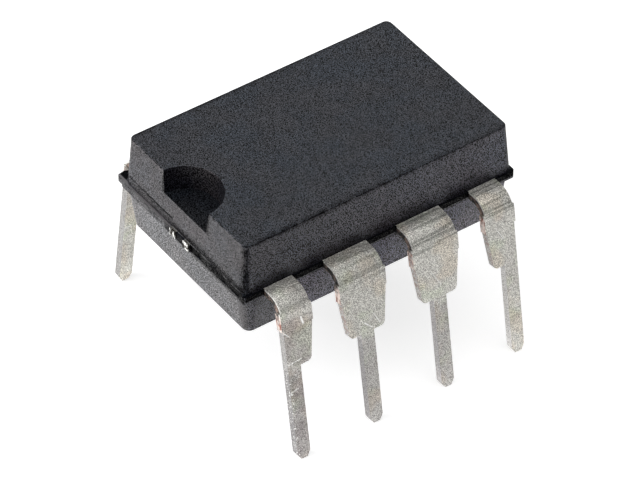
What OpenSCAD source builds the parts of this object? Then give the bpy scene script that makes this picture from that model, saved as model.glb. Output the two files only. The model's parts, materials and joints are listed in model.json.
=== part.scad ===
// An eight-lead plastic dual in-line package.
// A block of moulded resin holds a silicon chip on a metal pad. Eight stamped and formed leads
// come out of its two long sides, and gold wires join them to the chip inside the resin.
// The tips of the leads stand on the plane z = 0, and the middle of the block is over the origin.
// The leads run along x. The end with the thumb notch is at -x, and lead 1 is beside it at -y.

/* [Leads] */
// Distance between the centres of neighbouring leads
lead_pitch = 2.54; // [2.50:0.01:2.56]
// Thickness of the sheet that the leads are stamped from
sheet_thickness = 0.25; // [0.20:0.01:0.30]
// Width of a lead's wide part where it leaves the resin
exit_width = 1.49; // [1.35:0.01:1.55]
// Width of the lead's wide part at its lower end
shoulder_width = 1.22; // [1.10:0.01:1.30]
// Rounding of the lower corners of the wide part
shoulder_corner = 0.15; // [0.05:0.01:0.20]
// Width of the narrow tail that goes through a circuit board
tail_width = 0.44; // [0.36:0.01:0.50]
// Straight run from the resin to the start of the bend
straight_run = 0.25; // [0.15:0.01:0.35]
// Inner radius of the bend
bend_radius = 0.35; // [0.25:0.01:0.45]
// Angle by which each row of leads spreads outwards
splay = 9; // [2:0.5:12]
// Length of the wide part below the bend
shoulder_length = 1.77; // [1.40:0.01:2.20]
// Length of the tail below the wide part
tail_length = 3.17; // [2.60:0.01:3.60]
// Length over which the tip narrows
tip_length = 0.20; // [0.10:0.01:0.30]
// Width of the flat at the tip
tip_width = 0.22; // [0.15:0.01:0.30]
// How far the cut ends of the dam bar stand out from a lead's edge
dam_stub = 0.05; // [0.03:0.01:0.10]
// Length along the lead of the cut ends of the dam bar
dam_length = 0.62; // [0.40:0.01:0.80]

/* [Moulded body] */
// Length of the body over its parting rim
body_length = 9.43; // [9.30:0.01:10.00]
// Width of the body over its parting rim
body_width = 6.24; // [6.00:0.01:6.60]
// Height of the half above the leads
upper_height = 1.63; // [1.40:0.01:1.90]
// Height of the half below the leads
lower_height = 1.38; // [1.20:0.01:1.60]
// Slope of the sides of the upper half, for release from the mould
upper_draft = 5; // [3:0.5:8]
// Slope of the sides of the lower half
lower_draft = 7.5; // [3:0.5:9]
// Rounding of the upright corners at the top
top_corner = 0.20; // [0.08:0.01:0.30]
// Rounding of the upright corners at the underside
bottom_corner = 0.24; // [0.08:0.01:0.30]
// Rounding of the corners of the parting rim
rim_corner = 0.10; // [0.05:0.01:0.30]
// How far the parting rim stands out from the two halves
rim_step = 0.055; // [0.02:0.005:0.08]
// How far the flash that is left on the rim beside lead 8 stands out
flash_reach = 0.22; // [0.10:0.01:0.24]
// Bevel around the top and the underside
edge_break = 0.03; // [0.02:0.01:0.05]
// How deep the rim is broken away beside the tie bars, where the resin flowed in
gate_depth = 0.09; // [0.06:0.01:0.12]
// Radius of the thumb notch at the top
notch_radius = 1.14; // [0.80:0.01:1.30]
// Depth of the thumb notch
notch_depth = 0.74; // [0.30:0.01:0.90]
// Slope of the wall of the thumb notch
notch_draft = 8; // [4:0.5:12]

/* [Chip and its pad] */
// Length of the pad
pad_length = 3.50; // [3.00:0.01:3.60]
// Width of the pad
pad_width = 2.10; // [1.80:0.01:2.20]
// How far the pad is pressed down below the leads
pad_drop = 0.20; // [0.15:0.01:0.25]
// Width of each tie bar, two of which hold the pad at each end
tie_width = 0.27; // [0.20:0.01:0.32]
// Distance between the centres of the two tie bars
tie_spacing = 0.67; // [0.60:0.01:0.75]
// How far the pair of tie bars is off the middle of the body
tie_offset = 0.10; // [0.00:0.01:0.20]
// How far the cut ends of the tie bars stand out from the rim
tie_stub = 0.03; // [0.01:0.01:0.10]
// Length of the chip
chip_length = 1.80; // [1.60:0.01:1.90]
// Width of the chip
chip_width = 1.40; // [1.20:0.01:1.45]
// Thickness of the chip
chip_thickness = 0.28; // [0.24:0.01:0.30]
// Thickness of the layer of adhesive under the chip
adhesive_thickness = 0.03; // [0.02:0.01:0.04]
// How far the adhesive spreads past each edge of the chip
adhesive_margin = 0.06; // [0.04:0.01:0.10]

/* [Bond wires] */
// Diameter of the gold wire
wire_diameter = 0.04; // [0.03:0.001:0.05]
// Height of a wire's arch above the straight line between its ends
wire_rise = 0.30; // [0.20:0.01:0.36]
// Diameter of the ball where a wire starts on the chip
ball_diameter = 0.10; // [0.09:0.01:0.12]

/* [Hidden] */
$fn = 48;

resin = [0.23, 0.23, 0.25];
tin = [0.68, 0.67, 0.64];
plating = [0.82, 0.80, 0.76];
silver_paste = [0.70, 0.70, 0.68];
silicon = [0.30, 0.32, 0.40];
gold = [0.85, 0.65, 0.25];

// Place of each lead along x, counted in pitches from the middle, and its row: -1 at -y, 1 at +y
LEADS = [
    [-1.5, -1], [-0.5, -1], [0.5, -1], [1.5, -1],
    [1.5, 1], [0.5, 1], [-0.5, 1], [-1.5, 1]
];

// Cutting shapes go this far past what they cut
pass = 0.5;

half_sheet = sheet_thickness / 2;
outer_bend = bend_radius + sheet_thickness;
leg_length = shoulder_length + tail_length;

// The middle plane of the flat sheet is also the parting plane of the mould
sheet_level = half_sheet + bend_radius * (1 - sin(splay)) + leg_length * cos(splay);
sheet_top = sheet_level + half_sheet;
sheet_bottom = sheet_level - half_sheet;

// The bend's axis, as a distance out from the middle of the body
bend_out = body_width / 2 + straight_run;

// The dam bar crossed the leads where they now bend and a little below that
dam_bend_angle = 16;
dam_on_leg = dam_length - outer_bend * dam_bend_angle * PI / 180;
// The wide part widens by this much on each side between the bend and the dam bar's lower end
dam_flare = 0.015;

// Inside the resin a lead is wide for this distance, which anchors it, and then narrows
anchor_depth = 0.45;
finger_taper = 0.45;
// Width of a middle lead's finger
finger_width = 0.60;
// Resin between the pad and the fingers
finger_gap = 0.25;
// A corner lead's finger turns in towards the pad, and its tip has this length and width
corner_tip_length = 0.70;
corner_tip_width = 0.45;
corner_tip_back = 0.10;
corner_elbow = 0.35;

// Each half of the mould leans in by this much over its height, in whole microns
upper_inset = round(1000 * upper_height * tan(upper_draft)) / 1000;
lower_inset = round(1000 * lower_height * tan(lower_draft)) / 1000;

// The upper half is set back from the rim, but at +x it is flush with it and so this much longer
upper_fill = rim_step;

// The notch's middle is this far outside the edge of the top face
notch_out = 0.05;

// The gate's break ends this far from the tie bar on one side and from the corner on the other
gate_clear = 0.06;
// Steps of the ragged break, and the shallowest one as a part of the depth
gate_steps = 16;
gate_shallowest = 0.35;
// Picks one of the many ragged edges that can be drawn
gate_pattern = 7;

pad_top = sheet_top - pad_drop;
chip_bottom = pad_top + adhesive_thickness;
chip_top = chip_bottom + chip_thickness;

// The tie bars run level beyond the pad and then slope up to the parting plane
tie_root = 0.20;
tie_level_run = 0.15;
tie_slope_run = 0.35;

// Bonds sit this far in from the chip's edge
bond_inset = 0.12;
// A corner lead's bond is this far from the chip's long side, and a middle lead's from its end
corner_bond_shift = 0.38;
middle_bond_shift = 0.45;
// A wire's foot sits this far from the tip of its finger
foot_back = 0.20;
// The ball and the foot are pressed flat, so their sizes follow the wire
ball_height = 1.1 * wire_diameter;
foot_height = 1.2 * wire_diameter;
foot_length = 3.5 * wire_diameter;
foot_width = 2 * wire_diameter;

function is_corner(lead) = abs(lead[0]) > 1;

// Which way the end of the package lies, seen by someone who looks out along the lead
function outer_side(lead) = sign(lead[0]) * lead[1];

// Mirrors an outline across x = 0 when side is -1
function turned(points, side) =
    side > 0 ? points
    : [for (i = [len(points) - 1 : -1 : 0]) [-points[i][0], points[i][1]]];

// Flat shapes of a lead, with x across it and the middle of the tail at x = 0

// A middle lead from above: the wide part from the bend to the anchor, and the straight finger
function middle_plan() =
    let (
        half_exit = exit_width / 2,
        half_finger = finger_width / 2,
        anchor_y = body_width / 2 - anchor_depth,
        tip_y = pad_width / 2 + finger_gap
    )
    [
        [-half_exit, bend_out], [-half_exit, anchor_y],
        [-half_finger, anchor_y - finger_taper], [-half_finger, tip_y],
        [half_finger, tip_y], [half_finger, anchor_y - finger_taper],
        [half_exit, anchor_y], [half_exit, bend_out]
    ];

// A corner lead from above, with the end of the package at +x: the finger turns in to the pad
function corner_plan() =
    let (
        half_exit = exit_width / 2,
        half_tail = tail_width / 2,
        anchor_y = body_width / 2 - anchor_depth,
        tip_x = pad_length / 2 + finger_gap - 1.5 * lead_pitch,
        tip_y = pad_width / 2 - corner_tip_back
    )
    [
        [-half_exit, bend_out], [-half_exit, anchor_y],
        [tip_x, tip_y + corner_tip_width], [tip_x, tip_y],
        [tip_x + corner_tip_length, tip_y],
        [half_tail, anchor_y - corner_elbow], [half_tail, bend_out]
    ];

// Half of the leg at +x, from the bend at y = 0 down to the tip
function half_leg(wide) =
    let (half_tail = tail_width / 2)
    concat(
        wide ? [
            [exit_width / 2, 0],
            [exit_width / 2 + dam_flare, dam_on_leg],
            [shoulder_width / 2, shoulder_length - shoulder_corner],
            [shoulder_width / 2 - shoulder_corner, shoulder_length],
            [half_tail, shoulder_length]
        ] : [
            [half_tail, 0]
        ],
        [[half_tail, leg_length - tip_length], [tip_width / 2, leg_length]]
    );

// Rounds the lower corner of the wide part at +x
module shoulder_round() {
    translate([shoulder_width / 2 - shoulder_corner, shoulder_length - shoulder_corner])
        circle(r = shoulder_corner);
}

module leg_face(wide_left, wide_right) {
    polygon(concat(half_leg(wide_right), turned(half_leg(wide_left), -1)));
    if (wide_right)
        shoulder_round();
    if (wide_left)
        mirror([1, 0]) shoulder_round();
}

// Side view of the bent sheet around the axis of the bend, with x outwards and y up

// All that lies within a radius of the bend's axis, carried on along the run and the leg
module filled_side(radius, run, down) {
    translate([-run, 0])
        square([run, radius]);
    circle(r = radius);
    rotate(splay)
        translate([0, -down])
            square([radius, down]);
}

module sheet_side(run, down) {
    below = outer_bend + pass;
    difference() {
        filled_side(outer_bend, run, down);
        translate([-run - pass, -below])
            square([run + pass, below + bend_radius]);
        circle(r = bend_radius);
        rotate(splay)
            translate([-below, -down - pass])
                square([below + bend_radius, down + pass]);
    }
}

// The part of the bent sheet that the dam bar crossed
module dam_side() {
    reach = 2 * outer_bend;
    top_angle = splay + dam_bend_angle;
    intersection() {
        sheet_side(straight_run, dam_on_leg);
        polygon([
            [0, 0],
            [reach * cos(top_angle), reach * sin(top_angle)],
            [reach, -reach],
            [0, -reach]
        ]);
    }
}

// Stands a side view up across the lead, from x = left to x = right
module across(left, right) {
    translate([left, bend_out, half_sheet - outer_bend])
        rotate([90, 0, 90])
            linear_extrude(right - left)
                children();
}

// One lead, pointing out along +y, with the flat sheet's middle plane at z = 0.
// outer is 0 for a middle lead, or 1 or -1 where the end of the package is at +x or -x.
module lead_shape(outer) {
    left = outer == -1 ? tail_width / 2 : exit_width / 2;
    right = outer == 1 ? tail_width / 2 : exit_width / 2;
    translate([0, 0, -half_sheet])
        linear_extrude(sheet_thickness)
            polygon(outer == 0 ? middle_plan() : turned(corner_plan(), outer));
    across(-left, right)
        sheet_side(straight_run, dam_on_leg);
    across(-left - dam_stub, right + dam_stub)
        dam_side();
    translate([0, bend_out, half_sheet - outer_bend])
        rotate([splay - 90, 0, 0])
            translate([0, 0, bend_radius])
                linear_extrude(sheet_thickness)
                    leg_face(outer != -1, outer != 1);
}

module lead_solid(lead) {
    translate([lead[0] * lead_pitch, 0, sheet_level])
        rotate([0, 0, lead[1] > 0 ? 0 : 180])
            lead_shape(is_corner(lead) ? outer_side(lead) : 0);
}

// The moulded body

module corner_places(length, width, corner) {
    for (x = [-1, 1], y = [-1, 1])
        translate([x * (length / 2 - corner), y * (width / 2 - corner), 0])
            children();
}

module rim() {
    linear_extrude(sheet_thickness) {
        square([body_length, body_width - 2 * rim_corner], center = true);
        square([body_length - 2 * rim_corner, body_width], center = true);
        corner_places(body_length, body_width, rim_corner)
            circle(r = rim_corner);
    }
}

// A ragged scrap of resin that squeezed out of the mould at the corner, up to the side of lead 8
module rim_flash() {
    start = -body_length / 2 + rim_corner / 2;
    finish = -1.5 * lead_pitch;
    root = body_width / 2 - rim_corner;
    edge = body_width / 2;
    linear_extrude(sheet_thickness)
        polygon([
            [start, root], [finish, root],
            [finish, edge + 0.45 * flash_reach],
            [(start + finish) / 2, edge + 0.60 * flash_reach],
            [start + flash_reach, edge + flash_reach],
            [start, edge + 0.85 * flash_reach]
        ]);
}

// Rounded block on z = 0 whose four sides lean in by inset over its height
module leaning_block(length, width, corner, height, inset) {
    rotate([90, 0, 0])
        linear_extrude(width - 2 * corner, center = true)
            polygon([
                [-length / 2, 0], [length / 2, 0],
                [length / 2 - inset, height], [-length / 2 + inset, height]
            ]);
    rotate([90, 0, 90])
        linear_extrude(length - 2 * corner, center = true)
            polygon([
                [-width / 2, 0], [width / 2, 0],
                [width / 2 - inset, height], [-width / 2 + inset, height]
            ]);
    corner_places(length, width, corner)
        cylinder(r1 = corner, r2 = corner - inset, h = height);
}

// One half of the moulding on z = 0, with its far edges bevelled. It is longer at +x by fill.
module moulded_half(height, inset, far_corner, fill) {
    length = body_length - 2 * rim_step + fill;
    width = body_width - 2 * rim_step;
    side = height - edge_break;
    translate([fill / 2, 0, 0]) {
        leaning_block(length, width, far_corner + inset, side, inset);
        translate([0, 0, side])
            leaning_block(
                length - 2 * inset, width - 2 * inset, far_corner, edge_break, edge_break
            );
    }
}

// Half of a tapered cup in the top of the end at -x
module thumb_notch() {
    spread = tan(notch_draft);
    top_end = body_length / 2 - rim_step - upper_inset;
    translate([-top_end - notch_out, 0, sheet_top + upper_height - notch_depth])
        cylinder(
            r1 = notch_radius - notch_depth * spread,
            r2 = notch_radius + pass * spread,
            h = notch_depth + pass
        );
}

// What the break at the gate takes off the rim of the end at -x: a strip with a ragged inner edge
module gate_break() {
    near = tie_offset - tie_spacing / 2 - tie_width / 2 - gate_clear;
    far = rim_corner + gate_clear - body_width / 2;
    outside = -body_length / 2 - pass;
    bite = rands(gate_shallowest, 1, gate_steps + 1, gate_pattern);
    linear_extrude(sheet_thickness)
        polygon(concat(
            [[outside, far], [outside, near]],
            [for (i = [0 : gate_steps])
                [gate_depth * bite[i] - body_length / 2, near + (far - near) * i / gate_steps]]
        ));
}

module moulded_block() {
    translate([0, 0, sheet_top])
        moulded_half(upper_height, upper_inset, top_corner, upper_fill);
    translate([0, 0, sheet_bottom])
        difference() {
            union() {
                rim();
                rim_flash();
            }
            gate_break();
        }
    translate([0, 0, sheet_bottom])
        mirror([0, 0, 1])
            moulded_half(lower_height, lower_inset, bottom_corner, 0);
}

// The chip and what holds it

// Side view of one tie bar towards +x
function tie_points() =
    let (
        level_end = pad_length / 2 + tie_level_run,
        slope_end = level_end + tie_slope_run,
        far_end = body_length / 2 + tie_stub,
        root = pad_length / 2 - tie_root,
        pad_bottom = pad_top - sheet_thickness
    )
    [
        [root, pad_bottom], [level_end, pad_bottom],
        [slope_end, sheet_bottom], [far_end, sheet_bottom],
        [far_end, sheet_top], [slope_end, sheet_top],
        [level_end, pad_top], [root, pad_top]
    ];

module pad_solid() {
    translate([-pad_length / 2, -pad_width / 2, pad_top - sheet_thickness])
        cube([pad_length, pad_width, sheet_thickness]);
    for (end = [-1, 1], side = [-1, 1])
        translate([0, tie_offset + side * tie_spacing / 2, 0])
            rotate([90, 0, 0])
                linear_extrude(tie_width, center = true)
                    polygon(turned(tie_points(), end));
}

module adhesive_solid() {
    length = chip_length + 2 * adhesive_margin;
    width = chip_width + 2 * adhesive_margin;
    translate([-length / 2, -width / 2, pad_top])
        cube([length, width, adhesive_thickness]);
}

module chip_solid() {
    translate([-chip_length / 2, -chip_width / 2, chip_bottom])
        cube([chip_length, chip_width, chip_thickness]);
}

// Where a wire starts on the chip
function ball_place(lead) =
    let (
        shift_x = is_corner(lead) ? bond_inset : middle_bond_shift,
        shift_y = is_corner(lead) ? corner_bond_shift : bond_inset
    )
    [
        sign(lead[0]) * (chip_length / 2 - shift_x),
        lead[1] * (chip_width / 2 - shift_y),
        chip_top
    ];

// Where a wire ends on its lead's finger
function foot_place(lead) =
    is_corner(lead) ? [
        sign(lead[0]) * (pad_length / 2 + finger_gap + foot_back),
        lead[1] * (pad_width / 2 - corner_tip_back + foot_back),
        sheet_top
    ] : [
        lead[0] * lead_pitch,
        lead[1] * (pad_width / 2 + finger_gap + foot_back),
        sheet_top
    ];

// A wire from its ball on the chip, over in one arch, to its flattened foot on the finger
module wire_solid(lead) {
    ball = ball_place(lead);
    foot = foot_place(lead);
    start = ball + [0, 0, ball_height / 2];
    finish = foot + [0, 0, foot_height / 2];
    heading = atan2(finish.y - start.y, finish.x - start.x);
    level = norm([finish.x - start.x, finish.y - start.y]);
    fall = atan2(start.z - finish.z, level);
    chord = norm(finish - start);
    arch_radius = (chord * chord / 4 + wire_rise * wire_rise) / (2 * wire_rise);
    half_angle = asin(chord / 2 / arch_radius);
    translate(ball)
        cylinder(d = ball_diameter, h = ball_height);
    translate(start)
        rotate([0, fall, heading])
            rotate([90, 0, 0])
                translate([chord / 2, wire_rise - arch_radius, 0])
                    rotate([0, 0, 90 - half_angle])
                        rotate_extrude(angle = 2 * half_angle)
                            translate([arch_radius, 0])
                                circle(d = wire_diameter);
    translate(foot)
        rotate([0, 0, heading])
            translate([-foot_length / 2, -foot_width / 2, 0])
                cube([foot_length, foot_width, foot_height]);
}

// The pieces

// The resin is moulded around everything else, so it has an exact hollow for each piece
module body() {
    color(resin)
        difference() {
            moulded_block();
            thumb_notch();
            for (lead = LEADS) {
                lead_solid(lead);
                wire_solid(lead);
            }
            pad_solid();
            adhesive_solid();
            chip_solid();
        }
}

module lead_piece(number) {
    color(tin)
        lead_solid(LEADS[number - 1]);
}

module die_pad() {
    color(plating)
        pad_solid();
}

module die_attach() {
    color(silver_paste)
        adhesive_solid();
}

module die() {
    color(silicon)
        chip_solid();
}

module bond_wire(number) {
    color(gold)
        wire_solid(LEADS[number - 1]);
}

body();
lead_piece(1);  // lead_1
lead_piece(2);  // lead_2
lead_piece(3);  // lead_3
lead_piece(4);  // lead_4
lead_piece(5);  // lead_5
lead_piece(6);  // lead_6
lead_piece(7);  // lead_7
lead_piece(8);  // lead_8
die_pad();
die_attach();
die();
bond_wire(1);  // bond_wire_1
bond_wire(2);  // bond_wire_2
bond_wire(3);  // bond_wire_3
bond_wire(4);  // bond_wire_4
bond_wire(5);  // bond_wire_5
bond_wire(6);  // bond_wire_6
bond_wire(7);  // bond_wire_7
bond_wire(8);  // bond_wire_8
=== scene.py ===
"""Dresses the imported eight-lead plastic package: surfaces, floor, lamps and camera.

The moulded resin, the tinned leads and the pieces sealed inside keep their CAD shapes, apart from
a little rounding of the leads' edges. The materials work in millimetres of the part's own frame:
x along the rows of leads with the notched end at -x, y across them, z up from the tips of the
leads.
"""

import json
import math

import bpy
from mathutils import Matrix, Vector

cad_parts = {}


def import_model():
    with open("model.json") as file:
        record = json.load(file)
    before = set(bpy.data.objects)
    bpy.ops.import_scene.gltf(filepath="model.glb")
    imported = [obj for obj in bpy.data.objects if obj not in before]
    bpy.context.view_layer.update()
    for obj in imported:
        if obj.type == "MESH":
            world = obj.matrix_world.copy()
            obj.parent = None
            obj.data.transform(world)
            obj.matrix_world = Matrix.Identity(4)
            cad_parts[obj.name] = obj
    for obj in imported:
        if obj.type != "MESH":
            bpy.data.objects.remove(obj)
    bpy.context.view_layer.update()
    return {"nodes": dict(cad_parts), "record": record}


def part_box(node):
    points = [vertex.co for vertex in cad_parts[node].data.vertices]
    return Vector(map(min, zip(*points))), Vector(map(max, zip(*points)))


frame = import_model()

MM = 0.001


def highest(node):
    """The highest corner of a CAD node's box, in millimetres."""
    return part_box(node)[1] / MM


# Sizes are in millimetres, unless they are multiplied by MM and so in metres.

# The sheet that the leads are stamped from, and the rounding of its edges: its width, how close
# points are joined first, and from which angle in degrees an edge is sharp
SHEET = 0.25
LEAD_EDGE = 0.025
LEAD_WELD = 0.0005
SHARP_ANGLE = 35

BODY_HIGH = highest("body")
END_X = BODY_HIGH.x
# The flat sheet's upper side is the highest part of a lead, and level with the top of the rim
SHEET_TOP = highest("lead_2").z
SHEET_BOTTOM = SHEET_TOP - SHEET

# The leads' bend: how far out its axis is, its outer radius and its axis's height
BEND_OUT = 3.37
OUTER_BEND = 0.60
BEND_AXIS_Z = SHEET_TOP - OUTER_BEND

# The tails start about here
TAIL_TOP = 3.0

# The thumb notch: its axis, its radius at the top and its depth
NOTCH_AXIS = (-4.573, 0.0, 0.0)
NOTCH_RADIUS = 1.14
NOTCH_DEPTH = 0.74

# The raw break beside the gate reaches this far to +y, and a little further for its softness
GATE_EDGE = 0.56
GATE_SOFT = 0.06

# The fine grains: their cells per millimetre, and the levels of the noise that become 0 and 1
SIDE_GRAIN = (34.0, 0.44, 0.56)
TOP_GRAIN = (38.0, 0.45, 0.55)
TIN_GRAIN = (38.0, 0.34, 0.66)
GLINT_GRAIN = (19.0, 0.63, 0.70)
# How their cells are turned, in radians around an axis
GRAIN_AXIS = (0.3, 0.5, 0.8)
GRAIN_ANGLE = 0.9
# The resin's grain is mostly low, with few high points
GRAIN_POWER = 2.8

# How far bumps stand out: the resin's grain and its breaks, the tin's grain and its clouds, the
# scratches, the torn ends of the tie bars, and the grain of the gold and of the adhesive
RESIN_GRAIN_DEPTH = 0.0012
BREAK_DEPTH = 0.06
TIN_GRAIN_DEPTH = 0.025
TIN_CLOUD_DEPTH = 0.06
SCRATCH_DEPTH = 0.02
TORN_DEPTH = 0.10
INNER_GRAIN_DEPTH = 0.004

RESIN_IOR = 1.5

# A hair's breadth: how sharply marks end at an edge
HAIR = 0.01

# How square on a face has to be to count as part of a side: it fades in between these
FACING_FROM = 0.6
FACING_TO = 0.9

# Painted shade above the rim on the notched end. Each band has its lower and upper side above the
# rim,
# its softness and its darkness: a broad dark band, then a darker line along each of its sides.
END_SHADE_BANDS = [
    (0.02, 0.33, 0.04, 0.48),
    (0.25, 0.32, 0.025, 0.88),
    (0.08, 0.12, 0.02, 0.68),
]

# Scratches and dents on the outer sides of the front row: their ends (x, z) and their width
SCRATCHES = [
    ((-3.42, 4.72), (-3.36, 4.47), 0.05),
    ((-4.14, 4.58), (-3.84, 4.20), 0.025),
    ((-4.02, 3.32), (-3.56, 3.36), 0.03),
    ((-4.04, 2.37), (-3.77, 2.42), 0.04),
    ((-1.43, 3.59), (-1.11, 3.26), 0.03),
    ((-1.03, 3.72), (-0.83, 3.30), 0.025),
    ((1.05, 4.10), (1.35, 3.55), 0.02),
    ((3.35, 4.55), (3.62, 4.05), 0.02),
]

FLOOR_SIZE = 600.0 * MM
FLOOR_WHITE = 0.80
FLOOR_GLOW = 0.55
# The glow the floor shows to reflections: below and far from the part, then a painted pool of light
# beside it
FLOOR_REFLECTION_GLOW = (0.30, 0.90)
# Half the sides of the floor's part that counts as below the part, and how soft its edge is
FLOOR_BELOW = (4.9, 4.0)
FLOOR_BELOW_SOFT = 0.3
# The part that counts as beside it: half its side along x, and its sides along y
FLOOR_BESIDE_X = 8.5
FLOOR_BESIDE_Y = (-5.8, 9.0)
FLOOR_BESIDE_SOFT = (0.5, 0.8)

SKY_LIGHT = 0.45

# The middle of the part, which the lamps point at
CENTRE = Vector((0.0, 0.0, 4.0)) * MM
# Each square soft lamp: its direction from the part, its distance and its side, and its level
LAMPS = {
    "window": ((-1.0, 0.45, 0.50), 80.0 * MM, 70.0 * MM, 0.90),
    "top": ((0.1, -0.1, 1.0), 300.0 * MM, 300.0 * MM, 0.30),
}

# The photograph's camera
CAMERA_AZIMUTH = -35.317
CAMERA_ELEVATION = 42.030
CAMERA_DISTANCE = 137.0 * MM
CAMERA_TARGET = Vector((-0.646, -1.018, 3.976)) * MM
CAMERA_LENS = 268.98
CAMERA_NEAR = 10.0 * MM
CAMERA_FAR = 10000.0 * MM


class Graph:
    """Builds one material's nodes. An input is a number, a tuple or another node's output."""

    def __init__(self, name, tree=None):
        if tree is None:
            self.material = bpy.data.materials.new(name)
            self.material.use_nodes = True
            tree = self.material.node_tree
        self.tree = tree
        self.tree.nodes.clear()

    def node(self, kind, inputs=(), **settings):
        made = self.tree.nodes.new("ShaderNode" + kind)
        for key, value in settings.items():
            setattr(made, key, value)
        for key, value in dict(inputs).items():
            self.feed(made.inputs[key], value)
        return made

    def feed(self, socket, value):
        if isinstance(value, bpy.types.NodeSocket):
            self.tree.links.new(value, socket)
        else:
            socket.default_value = value

    def surface(self, inputs):
        """Ends the material in a principled shader with these inputs."""
        shader = self.node("BsdfPrincipled", inputs)
        self.node("OutputMaterial", {"Surface": shader.outputs[0]})
        return self.material

    # Numbers

    def math(self, operation, *values, clamp=False):
        made = self.node("Math", enumerate(values), operation=operation, use_clamp=clamp)
        return made.outputs[0]

    def size(self, value):
        """The value without its sign."""
        return self.math("ABSOLUTE", value)

    def rest(self, value):
        """What is left of one."""
        return self.math("SUBTRACT", 1.0, value)

    def product(self, *values):
        result = values[0]
        for value in values[1:]:
            result = self.math("MULTIPLY", result, value)
        return result

    def most(self, *values):
        result = values[0]
        for value in values[1:]:
            result = self.math("MAXIMUM", result, value)
        return result

    def fade(self, value, start, end, low=0.0, high=1.0):
        """Goes smoothly from low at start to high at end."""
        made = self.node(
            "MapRange",
            {"Value": value, "From Min": start, "From Max": end, "To Min": low, "To Max": high},
            interpolation_type="SMOOTHSTEP",
        )
        return made.outputs["Result"]

    def level(self, share, low, high):
        """Goes smoothly from low to high as a share goes from zero to one."""
        return self.fade(share, 0.0, 1.0, low, high)

    def within(self, value, low, high, soft):
        """One between low and high, and zero outside them."""
        rise = self.fade(value, low - soft, low + soft)
        fall = self.fade(value, high + soft, high - soft)
        return self.product(rise, fall)

    # Places

    def vector(self, operation, *values):
        made = self.node("VectorMath", enumerate(values), operation=operation)
        return made.outputs["Value" if operation in ("LENGTH", "DOT_PRODUCT") else "Vector"]

    def scaled(self, value, factor):
        made = self.node("VectorMath", {0: value, "Scale": factor}, operation="SCALE")
        return made.outputs["Vector"]

    def millimetres(self):
        return self.scaled(self.node("TexCoord").outputs["Object"], 1 / MM)

    def facing(self):
        """Which way the face looks, as x, y and z."""
        return self.split(self.node("NewGeometry").outputs["True Normal"])

    def split(self, value):
        return self.node("SeparateXYZ", {0: value}).outputs

    def stretched(self, place, factors):
        return self.vector("MULTIPLY", place, factors)

    def moved(self, place, offset):
        return self.vector("ADD", place, offset)

    def stroke(self, place, start, end, width):
        """One on a straight stroke between two points, and zero away from it."""
        along = Vector(end) - Vector(start)
        offset = self.vector("SUBTRACT", place, start)
        reach = self.vector("DOT_PRODUCT", offset, tuple(along))
        share = self.math("DIVIDE", reach, along.length_squared, clamp=True)
        foot = self.scaled(tuple(along), share)
        off = self.vector("LENGTH", self.vector("SUBTRACT", offset, foot))
        return self.fade(off, width, 0.3 * width)

    # Noise

    def noise(self, place, per_mm, detail=2.0, roughness=0.5):
        made = self.node(
            "TexNoise",
            {"Vector": place, "Scale": per_mm, "Detail": detail, "Roughness": roughness},
        )
        return made.outputs["Fac"]

    def patches(self, place, per_mm, start, end, low=0.0, high=1.0, detail=3.0, roughness=0.5):
        """Low in some patches and high in others: noise that is faded from start to end."""
        return self.fade(self.noise(place, per_mm, detail, roughness), start, end, low, high)

    def grain(self, place, per_mm, low, high):
        """A fine even grain from 0 to 1. Its cells are turned, so that no flat face runs along
        them."""
        turned = self.node(
            "VectorRotate", {"Vector": place, "Axis": GRAIN_AXIS, "Angle": GRAIN_ANGLE}
        )
        return self.fade(self.noise(turned.outputs[0], per_mm, detail=0.0), low, high)

    # Mixtures

    def mixture(self, data_type, factor, first, second, **settings):
        made = self.node("Mix", data_type=data_type, **settings)
        for key, value in {"Factor": factor, "A": first, "B": second}.items():
            self.feed(made.inputs[key], value)
        return made.outputs["Result"]

    def mix(self, factor, first, second):
        """The first colour where the factor is zero, and the second where it is one."""
        return self.mixture("RGBA", factor, first, second)

    def tint(self, factor, colour, by):
        """Multiplies a colour, so that its grain stays. by is red, green and blue, or one level."""
        by = (*by, 1.0) if isinstance(by, tuple) else by
        return self.mixture("RGBA", factor, colour, by, blend_type="MULTIPLY")

    def blend(self, factor, first, second):
        """The same as mix for plain numbers."""
        return self.mixture("FLOAT", factor, first, second)

    def bump(self, height, depth_mm, **below):
        """Raises the surface by the height. A bump that is already there goes in as Normal."""
        inputs = {"Height": height, "Strength": 1.0, "Distance": depth_mm * MM, **below}
        return self.node("Bump", inputs).outputs["Normal"]


def srgb(red, green, blue):
    """A colour given as it looks, from 0 to 255, as the linear colour that shaders take."""
    def linear(value):
        value /= 255
        return value / 12.92 if value <= 0.04045 else ((value + 0.055) / 1.055) ** 2.4
    return (linear(red), linear(green), linear(blue), 1.0)


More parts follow.
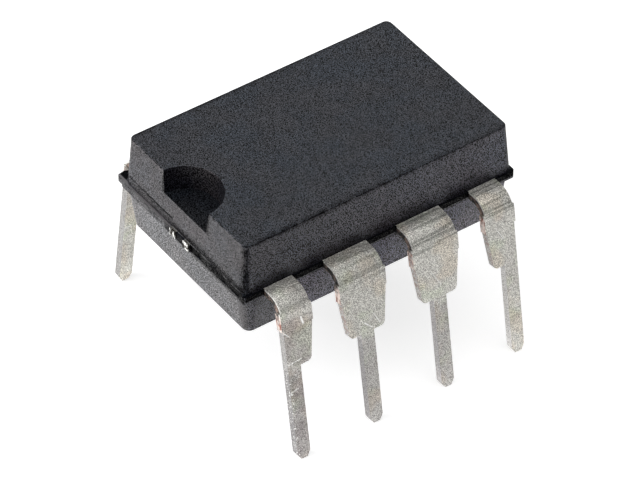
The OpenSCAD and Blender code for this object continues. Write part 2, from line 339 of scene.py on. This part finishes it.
class Resin(Graph):
    """The body's graph, with the places on the body that its marks share."""

    def __init__(self):
        super().__init__("moulded_resin")
        self.place = self.millimetres()
        self.x, self.y, self.z = self.split(self.place)
        facing_x, facing_y, self.top_facing = self.facing()
        self.end_facing = self.size(facing_x)
        self.side_facing = self.size(facing_y)
        self.on_end = self.fade(facing_x, -FACING_FROM, -FACING_TO)
        self.on_side = self.fade(self.side_facing, FACING_FROM, FACING_TO)
        self.on_top = self.fade(self.top_facing, FACING_FROM, FACING_TO)

        self.above_rim = self.math("SUBTRACT", self.z, SHEET_TOP)
        wander = self.patches(self.place, 4.0, 0.3, 0.7, -0.014, 0.014)
        self.above_rim_end = self.math("ADD", self.above_rim, wander)
        self.by_gate = self.fade(self.y, GATE_EDGE + GATE_SOFT, GATE_EDGE - GATE_SOFT)
        self.gate = self.product(self.on_end, self.by_gate)
        # The narrow top of the rim
        rim_top = self.within(self.z, SHEET_TOP - HAIR, SHEET_TOP + HAIR, HAIR)
        self.ledge = self.product(self.top_facing, rim_top)

    def parting_shade(self):
        """How dark it is above the rim.

        The long sides are painted darker towards the parting. The notched end has bands of painted
        shade there, and beside the gate raw black resin, with painted shade growing towards the
        rim.
        """
        # Painted shade on the long sides, deeper away from the corners
        wander = self.patches(self.place, 1.3, 0.3, 0.7, -0.07, 0.07)
        side_height = self.math("ADD", self.above_rim, wander)
        reach = self.fade(self.size(self.x), END_X - 0.2, END_X - 1.6, 0.45, 0.90)
        side = self.rest(self.math("DIVIDE", side_height, reach, clamp=True))
        side = self.product(self.math("POWER", side, 1.6), self.on_side, 0.80)

        # Painted shade in bands above the rim on the notched end
        end_shade = self.most(*[
            self.product(self.within(self.above_rim_end, low, high, soft), darkness)
            for low, high, soft, darkness in END_SHADE_BANDS
        ])
        end_shade = self.product(end_shade, self.fade(self.y, 2.6, 0.6, 0.92, 1.15))
        # Beside the gate: raw black resin, with painted shade growing towards the rim
        gate_break_shade = self.most(
            self.fade(self.above_rim_end, 0.38, 0.08, 0.0, 0.84),
            self.product(self.within(self.above_rim_end, 0.03, 0.08, 0.02), 0.90),
        )
        end = self.product(self.blend(self.by_gate, end_shade, gate_break_shade), self.on_end)
        above = self.fade(self.z, SHEET_TOP - HAIR, SHEET_TOP + HAIR)
        return self.product(self.most(side, end), above)

    def edge_and_corner_shade(self):
        """Painted shade along the upright corners and the top's long edges, in patches."""
        upper = self.fade(self.z, SHEET_TOP, SHEET_TOP + 0.1)
        corner = self.product(
            self.fade(self.end_facing, 0.25, 0.5), self.fade(self.side_facing, 0.25, 0.5), upper
        )
        beside = self.product(
            self.on_side, self.fade(self.x, -END_X + 0.45, -END_X + 0.12), upper, 0.5
        )
        edge = self.product(
            self.fade(self.side_facing, 0.3, 0.6), self.fade(self.top_facing, 0.3, 0.6)
        )
        below_edge = self.product(
            self.on_side, self.fade(self.z, BODY_HIGH.z - 0.17, BODY_HIGH.z - 0.04)
        )
        on_edge = self.product(
            self.top_facing, self.fade(self.size(self.y), 2.70, 2.87),
            self.fade(self.z, SHEET_TOP, BODY_HIGH.z),
        )
        edge = self.most(edge, self.product(self.most(below_edge, on_edge), 0.68))
        # The painted edge shade is lighter towards the plain end
        edge = self.product(edge, self.fade(self.x, -1.5, 3.5, 1.0, 0.55))
        mottled = self.patches(self.place, 5.0, 0.35, 0.60, 0.5, 1.0)
        return self.product(self.most(corner, beside, edge), mottled, 0.85)

    def broken_and_shaded(self):
        """One where the rim is raw, snapped off at the leads and at the gate, and painted dark as
        shade.
        """
        top = SHEET_TOP + HAIR
        return self.most(
            self.product(self.within(self.z, SHEET_BOTTOM + 0.06, top, 0.02), self.on_side),
            self.product(self.within(self.z, SHEET_BOTTOM - 0.02, top, 0.02), self.gate),
        )

    def rim_shade(self):
        """How dark the rim's streaked face is on the end, the end below the gate, and the rim's
        top along the leads."""
        face = self.product(self.within(self.z, SHEET_BOTTOM, SHEET_TOP + HAIR, HAIR), self.on_end)
        lying = self.stretched(self.place, (1.0, 0.6, 3.0))
        streaks = self.patches(lying, 3.0, 0.38, 0.62, 0.15, 0.65)
        near_gate = self.fade(self.y, 1.1, 0.75, 0.0, 0.8)
        below_gate = self.product(
            self.fade(self.z, SHEET_BOTTOM - 0.30, SHEET_BOTTOM, 0.0, 0.9),
            self.fade(self.z, SHEET_TOP, SHEET_BOTTOM), self.gate,
        )
        along_leads = self.fade(self.size(self.y), 2.95, 3.03)
        top = self.product(self.ledge, self.most(along_leads, self.product(self.by_gate, 0.6)), 0.9)
        return self.most(self.product(face, self.most(streaks, near_gate)), below_gate, top)

    def gate_edge_highlight(self):
        """A thin painted highlight on the raw edge along the gate, weaker by the near corner."""
        return self.product(
            self.within(self.above_rim_end, 0.005, 0.03, 0.01), self.gate,
            self.patches(self.place, 4.0, 0.42, 0.55), self.fade(self.y, -2.9, -2.2, 0.3, 1.0),
        )

    def notch(self):
        """One in the thumb notch, which is left smooth by its steel insert."""
        from_axis = self.vector("SUBTRACT", self.stretched(self.place, (1, 1, 0)), NOTCH_AXIS)
        within_radius = self.fade(
            self.vector("LENGTH", from_axis), NOTCH_RADIUS + 0.03, NOTCH_RADIUS + HAIR
        )
        top = BODY_HIGH.z - 0.02
        return self.product(within_radius, self.within(self.z, top - NOTCH_DEPTH, top, HAIR))

    def side_light_and_shade(self, colour):
        """Painted light and shade on the rim and the sides, from place to place."""
        # Painted highlight: away from the gate the top of the rim on the notched end is painted
        # pale
        by_end = self.fade(self.x, -END_X + 0.12, -END_X + 0.08)
        ledge_highlight = self.product(self.ledge, by_end, self.rest(self.by_gate), 0.9)
        colour = self.mix(ledge_highlight, colour, srgb(114, 112, 114))
        # Painted light: between the leads the lower half is painted paler, against the leads' shade
        between = self.product(
            self.on_side, self.fade(self.z, SHEET_BOTTOM, SHEET_BOTTOM - 0.05),
            self.fade(self.x, -3.6, -3.0),
        )
        colour = self.tint(between, colour, (2.10, 1.98, 2.14))
        # Painted shade: the upper half darkens towards the near corner
        upper = self.fade(self.z, SHEET_TOP, SHEET_TOP + 0.05)
        side_shading = self.fade(self.x, -5.0, 5.0, 0.64, 1.16)
        colour = self.tint(self.product(self.on_side, upper), colour, side_shading)
        end_shading = self.fade(self.y, -3.5, 0.5, 0.74, 1.0)
        return self.tint(self.product(self.on_end, upper), colour, end_shading)


def resin():
    """Matt black epoxy: a fine grain, raw black resin along the parting, and painted light and
    shade.
    """
    g = Resin()
    # The grain is finer on the top than on the sides
    grain = g.blend(g.on_top, g.grain(g.place, *SIDE_GRAIN), g.grain(g.place, *TOP_GRAIN))
    speck = g.math("POWER", grain, GRAIN_POWER)
    colour = g.mix(speck, srgb(0, 0, 0), srgb(77, 77, 84))
    cloud = g.patches(g.place, 0.9, 0.35, 0.70)
    # Painted light and shade by facing: the top darker and cooler, the end warmer, the sides more
    # violet
    for place, tint in [
        (cloud, (0.86, 1.00, 1.10)),
        (g.on_top, (0.86, 0.90, 0.91)),
        (g.on_end, (1.14, 0.98, 0.92)),
        (g.on_side, (1.06, 0.96, 1.08)),
    ]:
        colour = g.tint(place, colour, tint)

    # The raw rim, painted dark also where it lies in shade
    broken_and_shaded = g.broken_and_shaded()
    gate_edge_highlight = g.gate_edge_highlight()
    notch = g.notch()
    dark = g.most(g.parting_shade(), broken_and_shaded, g.rim_shade(), g.edge_and_corner_shade())
    # The painted highlight lifts the painted shade
    dark = g.product(dark, g.level(gate_edge_highlight, 1.0, 0.5))
    # Painted shade darkens the thumb notch
    dark = g.most(dark, g.product(notch, 0.72))
    colour = g.mix(dark, colour, srgb(2, 2, 3))
    # Painted highlight along the gate's edge
    colour = g.mix(g.product(gate_edge_highlight, 0.5), colour, srgb(110, 110, 110))
    colour = g.side_light_and_shade(colour)

    # Pits between the grains and the raw breaks send little back
    roughness = g.blend(notch, g.blend(grain, 0.50, 0.24), 0.30)
    # The lower half of the end sees the pale floor, where the grain would show too much
    even = g.product(g.on_end, g.fade(g.z, SHEET_TOP, SHEET_BOTTOM), 0.25)
    gloss = g.blend(even, g.blend(speck, 0.10, 0.96), 0.46)
    end_edge = g.product(g.fade(g.end_facing, 0.2, 0.5), g.fade(g.top_facing, 0.2, 0.5))
    # Where shade is painted, the reflection is taken down with it
    gloss = g.product(gloss, g.level(dark, 1.0, 0.05), g.level(end_edge, 1.0, 0.35))

    normal = g.bump(g.product(grain, g.rest(notch)), RESIN_GRAIN_DEPTH)
    rough_break = g.noise(g.place, 9.0, detail=4.0, roughness=0.65)
    normal = g.bump(g.product(rough_break, broken_and_shaded), BREAK_DEPTH, Normal=normal)
    return g.surface({
        "Base Color": colour, "Roughness": roughness, "IOR": RESIN_IOR,
        "Specular IOR Level": gloss, "Normal": normal,
    })


class Tin(Graph):
    """The leads' graph, with the places on a lead that its marks share."""

    def __init__(self):
        super().__init__("tinned_lead")
        self.place = self.millimetres()
        self.x, self.y, self.z = self.split(self.place)
        facing_x, self.facing_y, _ = self.facing()
        self.edge = self.fade(self.size(facing_x), 0.8, 0.95)
        self.front_row = self.fade(self.y, 0.0, -1.0)
        self.back_row = self.fade(self.y, 0.0, 1.0)
        self.on_tail = self.fade(self.z, TAIL_TOP + 0.15, TAIL_TOP - 0.15)
        self.by_bend = self.fade(self.z, BEND_AXIS_Z - 0.10, BEND_AXIS_Z + 0.02)

    def depth(self):
        """How deep in the sheet a point is from its outer side, along the run and the bend."""
        past_axis = self.math(
            "MAXIMUM", self.math("SUBTRACT", self.size(self.y), BEND_OUT), 0.0
        )
        above_axis = self.math("SUBTRACT", self.z, BEND_AXIS_Z)
        spot = self.node("CombineXYZ", {0: past_axis, 1: above_axis}).outputs[0]
        return self.math("SUBTRACT", OUTER_BEND, self.vector("LENGTH", spot))

    def drifts(self, colour, cloud):
        """Slow drifts of the tin's colour, with the noise, its fade, its weight and its tint."""
        flow = self.noise(
            self.stretched(self.place, (7.0, 1.2, 1.2)), 1.0, detail=3.0, roughness=0.6
        )
        warm = self.noise(self.moved(self.place, (7.0, 3.0, 5.0)), 1.1)
        green = self.noise(self.moved(self.place, (2.0, 9.0, 4.0)), 1.3)
        for noise, start, end, weight, tint in [
            (flow, 0.46, 0.70, 0.5, (0.76, 0.76, 0.75)),
            (cloud, 0.48, 0.70, 0.4, (0.80, 0.76, 0.78)),
            (warm, 0.48, 0.66, 0.45, (1.05, 0.93, 0.80)),
            (green, 0.50, 0.68, 0.45, (0.88, 0.97, 0.82)),
        ]:
            colour = self.tint(self.fade(noise, start, end, 0.0, weight), colour, tint)
        # Lead 1 is darker, except at its bend
        lead_1_darker = self.product(
            self.fade(self.x, -2.4, -3.1), self.front_row, self.fade(cloud, 0.30, 0.60, 0.3, 0.7),
            self.level(self.by_bend, 1.0, 0.15),
        )
        return self.tint(lead_1_darker, colour, (0.62, 0.58, 0.60))

    def stripes(self, colour):
        """The bend's tools left stripes across the lead."""
        across = self.stretched(self.place, (0.3, 12.0, 12.0))
        striped = self.product(
            self.patches(across, 1.0, 0.51, 0.58, detail=1.0), self.by_bend,
            self.fade(self.x, -2.5, 1.0, 0.5, 1.0),
        )
        return self.tint(striped, colour, (0.62, 0.63, 0.62))

    def levels(self, colour):
        """Painted light and shade: how light the edges and the tails are along the rows."""
        edge_light_level = self.blend(self.back_row, self.fade(self.x, -3.8, 3.8, 0.64, 1.20), 0.52)
        # On the corner leads by the notch it reaches up to the bend
        to_bend = self.product(self.fade(self.x, -3.0, -3.4), self.fade(self.z, 4.75, 4.50))
        colour = self.tint(
            self.product(self.most(self.on_tail, to_bend), self.edge), colour, edge_light_level
        )
        back_face = self.product(self.on_tail, self.back_row, self.rest(self.edge))
        second_lead = self.product(self.within(self.x, -2.3, -0.2, 0.1), self.front_row)
        # The tails of leads 1 to 3 are painted darker
        greyer = self.product(self.on_tail, self.fade(self.x, 2.4, 2.2), self.front_row)
        # Painted light on the back row's inner faces, and painted shade on lead 2
        colour = self.tint(back_face, colour, (1.19, 1.19, 1.17))
        colour = self.tint(second_lead, colour, (0.93, 0.93, 0.93))
        return self.tint(greyer, colour, (0.78, 0.77, 0.79))

    def painted_glints(self, colour):
        """Painted glints: a row of bright spots down lead 1, and some at the tops of the tails."""
        row = self.product(self.within(self.x, -4.04, -3.95, 0.03), self.fade(self.z, 3.4, 3.1))
        tops = self.product(self.within(self.z, TAIL_TOP - 0.3, TAIL_TOP + 0.3, 0.2), 0.5)
        few = self.product(
            self.grain(self.place, *GLINT_GRAIN), self.most(row, tops), self.front_row, 0.9
        )
        return self.mix(few, colour, srgb(255, 255, 252))

    def scratches(self):
        """One where the outer sides of the front row are scratched."""
        flat = self.node("CombineXYZ", {0: self.x, 1: self.z}).outputs[0]
        marks = self.most(*[
            self.stroke(flat, (*start, 0.0), (*end, 0.0), width)
            for start, end, width in SCRATCHES
        ])
        return self.product(
            marks, self.fade(self.facing_y, -0.5, -0.8),
            self.patches(self.place, 9.0, 0.35, 0.55, 0.3, 1.0, detail=2.0),
        )

    def stamped(self, colour):
        """A stamped edge is bright where the punch went in, and dark below, where it fractured and
        where painted shade falls under the run. Bare copper shows where the dam bar was sheared
        off."""
        at_bend = self.product(self.edge, self.by_bend)
        depth = self.depth()
        lip = self.product(at_bend, self.fade(depth, 0.06, 0.04), 0.8)
        colour = self.mix(lip, colour, srgb(240, 240, 234))
        patchy = self.noise(self.place, 5.0, detail=3.0, roughness=0.6)
        torn_colour = self.mix(
            self.fade(patchy, 0.45, 0.62), srgb(16, 14, 12), srgb(150, 128, 116)
        )
        # The fractured band, painted dark also as the shade under the run
        torn_and_shaded = self.product(at_bend, self.fade(depth, 0.04, 0.07), 0.95)
        colour = self.mix(torn_and_shaded, colour, torn_colour)

        stained = self.product(
            self.edge, self.within(self.z, 3.3, SHEET_TOP - 0.9, 0.1),
            self.fade(self.x, -2.4, -2.0),
            self.patches(self.place, 9.0, 0.48, 0.58, roughness=0.7), 0.65,
        )
        colour = self.mix(stained, colour, srgb(162, 128, 112))
        strokes = self.patches(self.stretched(self.place, (1.0, 5.0, 1.5)), 2.2, 0.38, 0.52)
        copper = self.mix(strokes, srgb(150, 96, 80), srgb(250, 232, 222))
        bare = self.product(
            self.edge, self.within(self.z, SHEET_TOP - 1.0, SHEET_TOP - 0.45, 0.05),
            self.fade(patchy, 0.38, 0.52, 0.35, 1.0), self.fade(self.y, 0.0, 1.0, 1.0, 0.4),
        )
        return self.mix(bare, colour, copper)


def tinned_metal():
    """Dull tin over a stamped copper-alloy sheet, bare where the dam bar was sheared off."""
    g = Tin()
    grain = g.grain(g.place, *TIN_GRAIN)
    cloud = g.noise(g.place, 1.7, detail=3.0, roughness=0.6)
    colour = g.mix(grain, srgb(160, 158, 153), srgb(242, 240, 233))
    colour = g.stripes(g.drifts(colour, cloud))
    # The stamped edges are smoother and paler
    smooth = g.mix(grain, srgb(168, 166, 165), srgb(228, 226, 224))
    colour = g.mix(g.product(g.edge, 0.85), colour, smooth)
    colour = g.painted_glints(g.levels(colour))
    scratches = g.scratches()
    colour = g.mix(scratches, colour, srgb(255, 254, 250))
    colour = g.stamped(colour)

    roughness = g.blend(scratches, g.blend(grain, 0.56, 0.34), 0.25)
    normal = g.bump(g.noise(g.place, 20.0, detail=1.0), TIN_GRAIN_DEPTH)
    normal = g.bump(cloud, TIN_CLOUD_DEPTH, Normal=normal)
    normal = g.bump(g.rest(scratches), SCRATCH_DEPTH, Normal=normal)
    return g.surface({
        "Base Color": colour, "Metallic": 0.64, "Roughness": roughness, "Normal": normal,
    })


def drawn_grain(g, place):
    """Noise with long cells along x, as drawing and rolling leave it."""
    return g.noise(g.stretched(place, (1.0, 6.0, 6.0)), 8.0, detail=3.0)


def plated_pad():
    """Bright silver plating, and ragged cut ends where the tie bars were sheared off."""
    g = Graph("plated_pad")
    place = g.millimetres()
    x, y, _ = g.split(place)
    grain = drawn_grain(g, place)
    colour = g.mix(g.fade(grain, 0.3, 0.7), srgb(196, 190, 180), srgb(240, 236, 226))
    cut = g.fade(g.size(x), END_X - 0.02, END_X)
    torn_place = g.moved(g.stretched(place, (1.0, 1.6, 0.8)), (0.0, 3.0, 1.0))
    ragged = g.noise(torn_place, 5.5, detail=4.0, roughness=0.7)
    # Painted glints where the sheared ends are burnished, dark where they tore
    glint = g.fade(g.math("ADD", ragged, g.fade(y, 0.0, -0.2, 0.0, 0.05)), 0.50, 0.56)
    colour = g.mix(cut, colour, g.mix(glint, srgb(46, 42, 36), srgb(250, 249, 245)))
    return g.surface({
        "Base Color": colour, "Metallic": 0.95,
        "Roughness": g.blend(cut, 0.28, g.level(glint, 0.6, 0.3)),
        "Normal": g.bump(g.product(ragged, cut), TORN_DEPTH),
    })


def gold_wire():
    """Plain drawn gold."""
    g = Graph("gold_wire")
    grain = drawn_grain(g, g.millimetres())
    return g.surface({
        "Base Color": g.mix(g.fade(grain, 0.3, 0.7), srgb(210, 160, 60), srgb(246, 208, 110)),
        "Metallic": 1.0, "Roughness": g.fade(grain, 0.3, 0.7, 0.17, 0.33),
        "Normal": g.bump(grain, INNER_GRAIN_DEPTH),
    })


def silver_paste():
    """Silver flakes in an adhesive."""
    g = Graph("silver_adhesive")
    cells = g.node("TexVoronoi", {"Vector": g.millimetres(), "Scale": 60.0})
    flakes = cells.outputs["Distance"]
    return g.surface({
        "Base Color": g.mix(g.fade(flakes, 0.1, 0.6), srgb(196, 196, 192), srgb(150, 150, 148)),
        "Metallic": 0.6, "Roughness": g.fade(flakes, 0.0, 0.7, 0.35, 0.6),
        "Normal": g.bump(flakes, INNER_GRAIN_DEPTH),
    })


def silicon():
    """Polished silicon under a thin film of changing colour."""
    g = Graph("silicon_die")
    place = g.millimetres()
    film = g.patches(place, 1.2, 0.3, 0.7, detail=1.0)
    return g.surface({
        "Base Color": g.mix(film, srgb(70, 78, 104), srgb(92, 84, 110)), "Metallic": 0.5,
        "Roughness": g.patches(place, 40.0, 0.3, 0.7, 0.08, 0.16, detail=2.0),
    })


def dress():
    """Gives every CAD node the material of its slot, and rounds the leads' edges."""
    made = {
        "moulded_resin": resin(),
        "tinned_lead": tinned_metal(),
        "plated_pad": plated_pad(),
        "silver_adhesive": silver_paste(),
        "silicon_die": silicon(),
        "gold_wire": gold_wire(),
    }
    for entry in frame["record"]["subparts"]:
        piece = frame["nodes"][entry["node"]]
        piece.data.materials.clear()
        piece.data.materials.append(made[entry["material_slot"]])
        if entry["material_slot"] == "tinned_lead":
            soften(piece)


def soften(piece):
    """Rounds a lead's sharp edges a little."""
    weld = piece.modifiers.new("weld", "WELD")
    weld.merge_threshold = LEAD_WELD * MM
    bevel = piece.modifiers.new("soft edges", "BEVEL")
    bevel.width = LEAD_EDGE * MM
    bevel.segments = 2
    bevel.limit_method = "ANGLE"
    bevel.angle_limit = math.radians(SHARP_ANGLE)
    bevel.harden_normals = True


def floor_material():
    """White to the camera and in reflections, with the part's soft shadow kept and a painted pool
    of light.
    """
    g = Graph("floor")
    rays = g.node("LightPath").outputs
    seen = g.product(rays["Is Camera Ray"], FLOOR_GLOW)
    # A painted pool of light: to reflections the floor glows brightest beside the part
    x, y, _ = g.split(g.millimetres())
    below = g.product(*[
        g.fade(g.size(value), half + FLOOR_BELOW_SOFT, half - FLOOR_BELOW_SOFT)
        for value, half in zip((x, y), FLOOR_BELOW)
    ])
    soft_x, soft_y = FLOOR_BESIDE_SOFT
    beside = g.product(
        g.fade(g.size(x), FLOOR_BESIDE_X + soft_x, FLOOR_BESIDE_X - soft_x),
        g.within(y, *FLOOR_BESIDE_Y, soft_y), g.rest(below),
    )
    mirroring = g.most(rays["Is Glossy Ray"], rays["Is Transmission Ray"])
    painted_glow_for_reflections = g.product(mirroring, g.level(beside, *FLOOR_REFLECTION_GLOW))
    white = (FLOOR_WHITE, FLOOR_WHITE, FLOOR_WHITE, 1.0)
    diffuse = g.node("BsdfDiffuse", {"Color": white})
    glow = g.node("Emission", {"Color": (1.0, 1.0, 1.0, 1.0), "Strength": g.most(seen, painted_glow_for_reflections)})
    both = g.node("AddShader", {0: diffuse.outputs[0], 1: glow.outputs[0]})
    g.node("OutputMaterial", {"Surface": both.outputs[0]})
    # The glow is only for what looks at the floor, so it is no lamp
    g.material.cycles.emission_sampling = "NONE"
    return g.material


def floor():
    mesh = bpy.data.meshes.new("floor")
    half = FLOOR_SIZE / 2
    around = [(-half, -half, 0), (half, -half, 0), (half, half, 0), (-half, half, 0)]
    mesh.from_pydata(around, [], [(0, 1, 2, 3)])
    mesh.materials.append(floor_material())
    made = bpy.data.objects.new("floor", mesh)
    bpy.context.collection.objects.link(made)


def world():
    """An even pale light from all around, white where the camera sees it."""
    made = bpy.data.worlds.new("studio")
    bpy.context.scene.world = made
    made.use_nodes = True
    g = Graph("studio", made.node_tree)
    camera_ray = g.node("LightPath").outputs["Is Camera Ray"]
    strength = g.blend(camera_ray, SKY_LIGHT, 1.0)
    background = g.node("Background", {"Color": (1.0, 1.0, 1.0, 1.0), "Strength": strength})
    g.node("OutputWorld", {"Surface": background.outputs[0]})


def lamp(name, direction, distance, size, level):
    """A square soft lamp. Its level is the light that it throws square on: 1 shows a colour as
    written."""
    data = bpy.data.lights.new(name, "AREA")
    data.shape = "SQUARE"
    data.size = size
    data.energy = level * math.pi ** 2 * distance ** 2
    made = bpy.data.objects.new(name, data)
    towards = Vector(direction).normalized()
    made.location = CENTRE + towards * distance
    made.rotation_euler = (-towards).to_track_quat("-Z", "Y").to_euler()
    bpy.context.collection.objects.link(made)


def camera():
    azimuth = math.radians(CAMERA_AZIMUTH)
    elevation = math.radians(CAMERA_ELEVATION)
    back = Vector((
        math.sin(azimuth) * math.cos(elevation),
        -math.cos(azimuth) * math.cos(elevation),
        math.sin(elevation),
    ))
    data = bpy.data.cameras.new("camera")
    data.lens = CAMERA_LENS
    data.clip_start = CAMERA_NEAR
    data.clip_end = CAMERA_FAR
    made = bpy.data.objects.new("camera", data)
    made.location = CAMERA_TARGET + back * CAMERA_DISTANCE
    made.rotation_euler = (-back).to_track_quat("-Z", "Y").to_euler()
    bpy.context.collection.objects.link(made)
    bpy.context.scene.camera = made


bpy.context.scene.view_settings.view_transform = "Standard"
dress()
floor()
world()
for lamp_name, settings in LAMPS.items():
    lamp(lamp_name, *settings)
camera()
